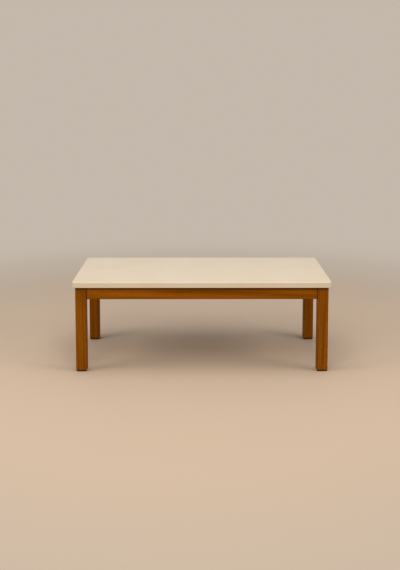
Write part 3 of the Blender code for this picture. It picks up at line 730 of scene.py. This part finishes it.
def makeApron(side, look):
    isLong = side in longSides
    low, high = (frontLow, frontHigh) if isLong else (leftLow, leftHigh)
    length = high.x - low.x if isLong else high.y - low.y
    middle = middleOf("apron_" + side)
    reach = abs(middle.y if isLong else middle.x)
    axisReach = length / 2 + apronEnd  # from the middle of the apron to the axis of a leg
    inside, top = apronThickness / 2, apronHeight / 2
    past, tall = inside + overrun, top + overrun
    bar = easedBar("bar", length, apronThickness, apronHeight, look["lowerRound"], look["upperRound"],
                   look["steps"])
    cuts, mouths = bmesh.new(), bmesh.new()
    for end in (-1, 1):
        boreEnd, boreMouth = end * (length / 2 - look["dowelDepth"]), end * (length / 2 + overrun)
        addRod(cuts, (boreEnd, 0, look["dowelRise"]), (boreMouth, 0, look["dowelRise"]),
               look["dowelBore"], roundness["bore"])
        kerf, half = end * (axisReach - lipLine), look["kerfHalf"]
        addBlock(cuts, (kerf - half, inside - look["kerfDepth"], -tall), (kerf + half, past, tall))
        addChamferBar(mouths, kerf + end * half, inside, look["mouth"], tall)
        # the front arris of each end is taken off, which leaves a fine groove beside the leg
        addChamferBar(mouths, end * length / 2, -inside, look["endChamfer"], tall)
        pilot = end * (axisReach - wingScrew)
        addRod(cuts, (pilot, inside - look["pilotDepth"], 0), (pilot, past, 0), look["pilot"],
               roundness["pilot"])
    slotMiddle, slotHalfHigh = top - look["slotDrop"], look["slotHigh"] / 2
    turn = turnZ(sides[side])
    for node in frame["nodes"]:
        if node.startswith("top_clip_" + side):
            x = (turn.inverted() @ middleOf(node)).x
            addBlock(cuts, (x - look["slotHalf"], inside - look["slotDepth"], slotMiddle - slotHalfHigh),
                     (x + look["slotHalf"], past, slotMiddle + slotHalfHigh))
    if isLong:
        half = look["mortiseHalf"]
        addBlock(cuts, (-half, inside - look["mortiseDepth"], top - look["mortiseFoot"]),
                 (half, past, top - look["mortiseTop"]))
    mesh = worked(bar, [meshOf(cuts, "cuts"), meshOf(mouths, "mouths")])
    mesh.transform(turn @ Matrix.Translation((0, -reach, boltLevel)))
    layGrain(mesh, turn.to_3x3() @ Vector((1, 0, 0)), (0, 0, 1), *look[side])
    addPiece("apron." + side, mesh, apronWood, "apron_" + side)


crossRail = {
    "edge": 0.0015, "steps": 5, "tenonLength": 0.010, "tenonHalf": 0.005, "shoulder": 0.006,
    "screwWay": 0.0023, "counterbore": 0.0055, "counterboreDepth": 0.014,
    "log": ((0.050, -0.066), 9.10, 0.022),
}


def makeRail(look):
    low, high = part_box("cross_rail")
    height, thickness = high.z - low.z, high.x - low.x
    reach = (high.y - low.y) / 2
    bar = easedBar("rail", 2 * (reach - look["tenonLength"]), thickness, height, look["edge"], look["edge"],
                   look["steps"])
    tenon = bmesh.new()
    tall = height / 2 - look["shoulder"]
    addBlock(tenon, (-reach, -look["tenonHalf"], -tall), (reach, look["tenonHalf"], tall))
    rail = worked(bar, [meshOf(tenon, "tenon")], "UNION")
    ways, seats = bmesh.new(), bmesh.new()
    seatLevel = look["counterboreDepth"] - height / 2
    for node in ("rail_screw_front", "rail_screw_rear"):
        y = middleOf(node).y
        addRod(ways, (y, 0, -height), (y, 0, height), look["screwWay"], roundness["pilot"])
        addRod(seats, (y, 0, -height), (y, 0, seatLevel), look["counterbore"], roundness["wide"])
    rail = worked(rail, [meshOf(ways, "ways"), meshOf(seats, "seats")])
    rail.transform(Matrix.Translation(middleOf("cross_rail")) @ turnZ(90))
    layGrain(rail, (0, 1, 0), (0, 0, 1), *look["log"])
    addPiece("crossRail", rail, railWood, "cross_rail")


for side in sides:
    makeApron(side, apronBoard)
makeRail(crossRail)
print("aprons and cross rail made")


# dowels, fluted as bought

flutedDowel = {
    "radius": 0.004, "half": 0.015, "chamfer": 0.001, "flutes": 16, "fluteDepth": 0.00028,
    "sidesPerFlute": 6, "bandsPerHalf": 4, "heart": (0.02, 0.013), "lean": 0.01, "crease": 60,
    "apart": 0.7,  # how far apart along the log the dowels were cut
}


def makeDowels(look):
    radius, half, chamfer = look["radius"], look["half"], look["chamfer"]
    bands = look["bandsPerHalf"]
    rows = [(0, half), (radius - chamfer, half), (radius, half - chamfer)]
    rows += [(radius, (half - chamfer) * (1 - step / bands)) for step in range(1, 2 * bands)]
    rows += [(radius, chamfer - half), (radius - chamfer, -half), (0, -half)]

    def flute(reach, height, angle):
        share = max(0.0, (reach - radius + chamfer) / chamfer)
        return reach - look["fluteDepth"] * share * (0.5 - 0.5 * math.cos(look["flutes"] * angle)) ** 2

    dowel = turnedBody("dowel", rows, look["flutes"] * look["sidesPerFlute"], flute)
    number = 0
    for corner in corners:
        for end, aim in (("a", (1, 0, 0)), ("b", (0, 1, 0))):
            node = "dowel_" + corner + "_" + end
            way = spotOf(corner).to_3x3() @ Vector(aim)
            mesh = copied(dowel, aimed(middleOf(node), way))
            layGrain(mesh, way, (0, 0, 1), look["heart"], look["apart"] * number, look["lean"])
            addPiece("dowel." + corner + "." + end, mesh, beechWood, node, look["crease"])
            number += 1


makeDowels(flutedDowel)
print("dowels made")


# corner brackets with their bolts, washers and wing nuts

def makeBrackets(look):
    line = [(lipLine, lipEnd), (lipLine, wingMiddle), (wingBend, wingMiddle),
            (wingMiddle, wingBend), (wingMiddle, lipLine), (lipEnd, lipLine)]
    plate = bentStrip("plate", line, plateHigh.z - plateLow.z, look["sheet"], look["bend"])
    holes = bmesh.new()
    addRod(holes, diagonal * (webMiddle - overrun), diagonal * (webMiddle + overrun), look["boltHole"],
           roundness["wide"])
    near, far = wingMiddle - overrun / 2, wingMiddle + overrun / 2
    addRod(holes, (wingScrew, near, 0), (wingScrew, far, 0), look["screwHole"], roundness["screw"])
    addRod(holes, (near, wingScrew, 0), (far, wingScrew, 0), look["screwHole"], roundness["screw"])
    plate = softEdged(worked(plate, [meshOf(holes, "holes")]), look["edge"])
    for corner in corners:
        mesh = copied(plate, spotOf(corner) @ Matrix.Translation((0, 0, boltLevel)))
        node = "corner_bracket_" + corner
        addPiece("bracket." + corner, mesh, sheetZinc, node, look["crease"])


hangerBolt = {
    "radius": 0.004, "woodRadius": 0.0035, "point": 0.004, "chamfer": 0.001, "inLeg": 0.032,
    "outOfLeg": 0.0237, "pitch": 0.00125, "threadDepth": 0.0006, "threadStart": 0.0004,
    "woodPitch": 0.0030, "woodDepth": 0.0008, "woodRows": 10, "sides": 28, "crease": 45,
}


def makeBolts(look):
    radius, wood, out, chamfer = look["radius"], look["woodRadius"], look["outOfLeg"], look["chamfer"]
    machineLow, machineHigh = look["threadStart"], out - chamfer
    woodLow, woodHigh = look["point"] - look["inLeg"], -2 * (radius - wood)
    rows = [(0, out), (radius - chamfer, out), (radius - chamfer * 0.4, out - chamfer * 0.5)]
    rows += threadRows(radius, machineHigh, machineLow, look["pitch"])
    rows += [(radius, 0.0), (wood, wood - radius)]
    rows += threadRows(wood, woodHigh, woodLow, look["woodPitch"], look["woodRows"])
    rows += [(wood * 0.5, (woodLow - look["inLeg"]) / 2), (0, -look["inLeg"])]
    threads = [(machineLow, machineHigh, look["pitch"], look["threadDepth"]),
               (woodLow, woodHigh, look["woodPitch"], look["woodDepth"])]
    bolt = turnedBody("bolt", rows, look["sides"], threadShaping(threads))
    for corner in corners:
        mesh = copied(bolt, boltSpot(corner, flatOut))
        addPiece("bolt." + corner, mesh, turnedZinc, "hanger_bolt_" + corner, look["crease"])


flatWasher = {
    "bore": 0.0043, "radius": 0.011, "thickness": 0.0016, "upperEdge": 0.00045, "lowerEdge": 0.00015,
    "edgeSteps": 4, "sides": 56, "crease": 40,
}


def makeWashers(look):
    bore, edge, thick = look["bore"], look["radius"], look["thickness"]
    upper, lower, steps = look["upperEdge"], look["lowerEdge"], look["edgeSteps"]
    quarter = [math.pi / 2 * step / steps for step in range(steps + 1)]
    rows = [(bore + lower, 0), (edge - lower, 0), (edge, lower)]
    rows += [(edge - upper + upper * math.cos(a), thick - upper + upper * math.sin(a)) for a in quarter]
    rows += [(bore + lower, thick), (bore, thick - lower), (bore, lower)]
    washer = turnedBody("washer", rows, look["sides"], ring=True)
    for corner in corners:
        mesh = copied(washer, boltSpot(corner, webInside + seatGap))
        addPiece("washer." + corner, mesh, turnedZinc, "washer_" + corner, look["crease"])


wingNut = {
    "bore": 0.0043, "base": 0.008, "neck": 0.006, "flange": 0.002, "height": 0.009, "hubSides": 48,
    "span": 0.036, "earRadius": 0.0055, "earRise": 0.0115, "earThickness": 0.0027, "earRoot": 0.7,
    "earStart": -75, "earSweep": 200, "earSteps": 24, "turn": 28,
    "voxel": 0.00045, "softness": 0.5, "smoothing": 6, "crease": 50,
}


def makeWingNuts(look):
    # cast in one: hub and ears are fused by a remesh, softened, and then bored
    base, neck, flange, height = look["base"], look["neck"], look["flange"], look["height"]
    hubRows = [(0, 0), (base, 0), (base, flange), (neck, height), (0, height)]
    hub = turnedBody("hub", hubRows, look["hubSides"])
    root = neck * look["earRoot"]
    radius, steps, thickness = look["earRadius"], look["earSteps"], look["earThickness"]
    middle = look["span"] / 2 - radius
    outline = [(root, flange)]
    for step in range(steps + 1):
        turn = math.radians(look["earStart"] + look["earSweep"] * step / steps)
        outline.append((middle + radius * math.cos(turn), look["earRise"] + radius * math.sin(turn)))
    outline.append((root, height - flange / 2))
    ears = []
    for way in (-1, 1):
        ear = bmesh.new()
        face = ear.faces.new([ear.verts.new((way * x, -thickness / 2, z)) for x, z in outline])
        moved = bmesh.ops.extrude_face_region(ear, geom=[face])["geom"]
        moved = [part for part in moved if isinstance(part, bmesh.types.BMVert)]
        bmesh.ops.translate(ear, verts=moved, vec=(0, thickness, 0))
        ears.append(meshOf(ear, "ear"))
    blank = onBench(worked(hub, ears, "UNION"))
    melt = blank.modifiers.new("melt", "REMESH")
    melt.mode, melt.voxel_size, melt.adaptivity = "VOXEL", look["voxel"], 0.0
    soften = blank.modifiers.new("soften", "SMOOTH")
    soften.factor, soften.iterations = look["softness"], look["smoothing"]
    blank = offBench(blank)
    bore = bmesh.new()
    addRod(bore, (0, 0, -overrun), (0, 0, height + overrun), look["bore"], roundness["wide"])
    nut = worked(blank, [meshOf(bore, "bore")])
    out = webInside + flatWasher["thickness"] + 2 * seatGap
    for corner in corners:
        mesh = copied(nut, boltSpot(corner, out, math.radians(look["turn"])))
        addPiece("wingNut." + corner, mesh, turnedZinc, "wing_nut_" + corner, look["crease"])


makeBrackets(cornerSteel)
makeBolts(hangerBolt)
makeWashers(flatWasher)
makeWingNuts(wingNut)
print("corner hardware made")


# clips and screws

topClip = {
    "sheet": 0.0016, "width": 0.018, "drop": 0.010, "tongue": 0.008, "step": 0.004, "flange": 0.020,
    "bend": 0.0018, "hole": 0.0023, "edge": 0.00022, "crease": 40,
}


def makeClips(look):
    level = -seatGap - look["sheet"] / 2
    line = [(-look["tongue"], -look["drop"]), (look["step"], -look["drop"]),
            (look["step"], level), (look["step"] + look["flange"], level)]
    clip = bentStrip("clip", line, look["width"], look["sheet"], look["bend"])
    # the strip is set up with its width along X and its line along Y and Z
    clip.transform(Matrix(((0, 0, 1, 0), (1, 0, 0, 0), (0, 1, 0, 0), (0, 0, 0, 1))))
    hole = bmesh.new()
    middle = look["step"] + look["flange"] / 2
    addRod(hole, (0, middle, -overrun), (0, middle, overrun), look["hole"], roundness["screw"])
    clip = softEdged(worked(clip, [meshOf(hole, "hole")]), look["edge"])
    for side, angle in sides.items():
        turn = turnZ(angle)
        inner = frontHigh.y if side in longSides else leftHigh.x
        for node in frame["nodes"]:
            if node.startswith("top_clip_" + side):
                x = (turn.inverted() @ middleOf(node)).x
                mesh = copied(clip, turn @ Matrix.Translation((x, inner, topLow.z)))
                name = "clip." + node.removeprefix("top_clip_")
                addPiece(name, mesh, sheetZinc, node, look["crease"])


panScrew = {
    "radius": 0.002, "root": 0.0007, "head": 0.004, "headHeight": 0.0026, "rim": 0.0009, "rimEdge": 0.00015,
    "domeSteps": 9, "domePower": 0.8, "point": 0.004, "pitch": 0.0016, "neck": 0.0016, "sides": 28,
    "recessLong": 0.0046, "recessWide": 0.0009, "recessDepth": 0.0015, "recessOver": 0.0004,
    "floorLong": 0.5, "floorWide": 0.75,  # how much of the recess is left at its floor
    "rollStep": 0.9, "crease": 45,
}


def makeScrew(name, look, length):
    head, rim, edge = look["head"], look["rim"], look["rimEdge"]
    radius, rise, steps = look["radius"], look["headHeight"] - rim, look["domeSteps"]
    turns = [math.pi / 2 * step / steps for step in range(steps)]
    rows = [(head * math.sin(a), rim + rise * math.cos(a) ** look["domePower"]) for a in turns]
    rows += [(head, rim), (head, edge), (head - edge, 0), (radius, 0)]
    high, low = -look["neck"], look["point"] - length
    rows += threadRows(radius, high, low, look["pitch"])
    rows += [(radius * 0.5, (low - length) / 2), (0, -length)]
    screw = turnedBody(name, rows, look["sides"], threadShaping([(low, high, look["pitch"], look["root"])]))
    arms = []
    top, floor = look["headHeight"] + look["recessOver"], look["headHeight"] - look["recessDepth"]
    for turn in (0, 90):
        arm = bmesh.new()
        for vert in addBlock(arm, (-0.5, -0.5, floor), (0.5, 0.5, top)):
            atFloor = vert.co.z < floor + sameLevel
            vert.co.x *= look["recessLong"] * (look["floorLong"] if atFloor else 1.0)
            vert.co.y *= look["recessWide"] * (look["floorWide"] if atFloor else 1.0)
        bmesh.ops.rotate(arm, verts=arm.verts, cent=(0, 0, 0), matrix=turnZ(turn, 3))
        arms.append(meshOf(arm, "arm"))
    return worked(screw, arms)


def makeScrews(look):
    made = {}
    for node in sorted(frame["nodes"]):
        if "_screw_" not in node:
            continue
        kind = node.split("_")[0]
        low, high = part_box(node)
        size = high - low
        axis = max(range(3), key=lambda a: size[a])
        if kind not in made:
            made[kind] = makeScrew(kind, look, size[axis] - look["headHeight"])
        aim = Vector((0, 0, -1))  # the heads of the clip and rail screws look down
        if kind == "bracket":
            aim = Vector((0, 0, 0))
            aim[axis] = -math.copysign(1, middleOf(node)[axis])
        end = high[axis] if aim[axis] > 0 else low[axis]
        seat = middleOf(node)
        seat[axis] = end - aim[axis] * look["headHeight"]
        roll = look["rollStep"] * len(bpy.data.objects)  # no two recesses stop at the same angle
        mesh = copied(made[kind], aimed(seat, aim, roll))
        addPiece("screw." + node.replace("_screw", ""), mesh, turnedZinc, node, look["crease"])


makeClips(topClip)
makeScrews(panScrew)
print("clips and screws made")


# floor, light and camera

studio = {
    "floorTone": (0.638, 0.500, 0.382), "bounceTone": (0.500, 0.360, 0.235), "floorRoughness": 0.75,
    "floorRadius": 60.0, "floorSides": 64, "floorFade": (1.0, 3.4), "backTone": (0.550, 0.482, 0.408),
    "worldTone": (1.0, 0.975, 0.940), "worldLevel": 0.46, "lampAim": (0, 0, 0.3),
}
# lamp name: place, size, watts and tone
lamps = {
    "overhead": ((0.0, -0.25, 2.90), (1.6, 1.2), 15.0, (1.0, 0.98, 0.95)),
    "key": ((-0.3, -2.8, 2.6), (2.4, 1.4), 36.0, (1.0, 0.90, 0.75)),
    "leftFill": ((-2.4, -1.0, 2.0), (1.2, 1.2), 18.0, (1.0, 0.95, 0.87)),
    "rightFill": ((2.4, -1.0, 2.0), (1.2, 1.2), 18.0, (1.0, 0.95, 0.87)),
}


def seenPath(tree):
    # one for what the eye sees, straight, in a reflection or through glass
    path = put(tree, "LightPath").outputs
    seen = maths(tree, "MAXIMUM", path["Is Camera Ray"], path["Is Glossy Ray"])
    return maths(tree, "MAXIMUM", seen, path["Is Transmission Ray"])


def makeStage(look):
    shape = bmesh.new()
    bmesh.ops.create_circle(shape, cap_ends=True, radius=look["floorRadius"], segments=look["floorSides"])
    mesh = bpy.data.meshes.new("floor")
    shape.to_mesh(mesh)
    shape.free()
    floor = bpy.data.objects.new("floor", mesh)
    scene.collection.objects.link(floor)
    material, tree, shader = startMaterial("paleFloor")
    shader.inputs["Roughness"].default_value = look["floorRoughness"]
    # the floor is pale to the eye and sends less light back up to the table
    seen = seenPath(tree)
    tree.links.new(tint(tree, seen, look["bounceTone"], look["floorTone"]), shader.inputs["Base Color"])
    # far from the table it goes over into the plain background
    place = put(tree, "TexCoord").outputs["Object"]
    away = put(tree, "VectorMath", {0: place}, operation="LENGTH").outputs["Value"]
    far = maths(tree, "MULTIPLY", fade(tree, away, *look["floorFade"]), seen)
    back = put(tree, "Emission", {"Color": (*look["backTone"], 1.0), "Strength": 1.0})
    blend = put(tree, "MixShader", {0: far, 1: shader.outputs[0], 2: back.outputs[0]})
    # from below the floor isn't in the way
    clear = put(tree, "BsdfTransparent")
    behind = put(tree, "NewGeometry").outputs["Backfacing"]
    whole = put(tree, "MixShader", {0: behind, 1: blend.outputs[0], 2: clear.outputs[0]})
    tree.links.new(whole.outputs[0], tree.nodes["Material Output"].inputs["Surface"])
    mesh.materials.append(material)


def makeLight(look):
    world = bpy.data.worlds.new("softRoom")
    world.use_nodes = True
    scene.world = world
    tree = world.node_tree
    ambient = tree.nodes["Background"]
    ambient.inputs["Color"].default_value = (*look["worldTone"], 1.0)
    ambient.inputs["Strength"].default_value = look["worldLevel"]
    plain = put(tree, "Background", {"Color": (*look["backTone"], 1.0), "Strength": 1.0})
    mix = put(tree, "MixShader", {0: seenPath(tree), 1: ambient.outputs[0], 2: plain.outputs[0]})
    tree.links.new(mix.outputs[0], tree.nodes["World Output"].inputs["Surface"])
    for name, (place, size, watts, tone) in lamps.items():
        lamp = bpy.data.lights.new(name, "AREA")
        lamp.shape, lamp.size, lamp.size_y = "RECTANGLE", *size
        lamp.energy, lamp.color = watts, tone
        holder = bpy.data.objects.new(name, lamp)
        scene.collection.objects.link(holder)
        holder.location = place
        aim = Vector(look["lampAim"]) - Vector(place)
        holder.rotation_euler = aim.to_track_quat("-Z", "Y").to_euler()


photoView = {
    "place": (-0.0186, -4.2446, 1.3174), "pitch": 0.1082, "turn": -0.0025,
    "lens": 55.206, "sensor": 36.0, "shift": -0.18,
}


def makeCamera(look):
    data = bpy.data.cameras.new("camera")
    data.lens, data.sensor_width, data.shift_y = look["lens"], look["sensor"], look["shift"]
    camera = bpy.data.objects.new("camera", data)
    scene.collection.objects.link(camera)
    camera.location = look["place"]
    camera.rotation_euler = (math.pi / 2 - look["pitch"], 0, look["turn"])
    scene.camera = camera


makeStage(studio)
makeLight(studio)
makeCamera(photoView)
print("floor, light and camera made")
